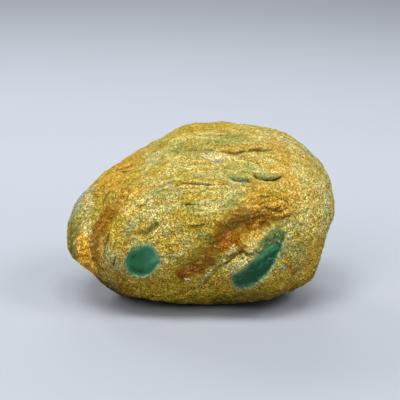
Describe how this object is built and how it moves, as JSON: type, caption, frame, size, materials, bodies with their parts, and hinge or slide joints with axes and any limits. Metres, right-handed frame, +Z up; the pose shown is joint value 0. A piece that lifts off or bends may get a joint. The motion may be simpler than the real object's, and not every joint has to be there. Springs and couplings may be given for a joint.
{
  "type": "raw jade boulder",
  "caption": "Raw jade stone in its sandy, ochre weathered rind, with a round and a leaf-shaped window ground through to the green jade; rests on its flat foot.",
  "frame": {"origin": "on the surface that the stone rests on, below the middle of its outline", "axes": "+X along the stone's length to its high, blunt end; -Y out of the face with the two ground windows; +Z up"},
  "size_m": [0.1195, 0.0931, 0.0806],
  "materials": {
    "jade_stone": "rough sandy rind in ochre, olive and orange with rust stains; the two ground windows are satin deep green jade"
  },
  "bodies": {
    "root": {"boulder": "jade_stone"}
  },
  "joints": []
}
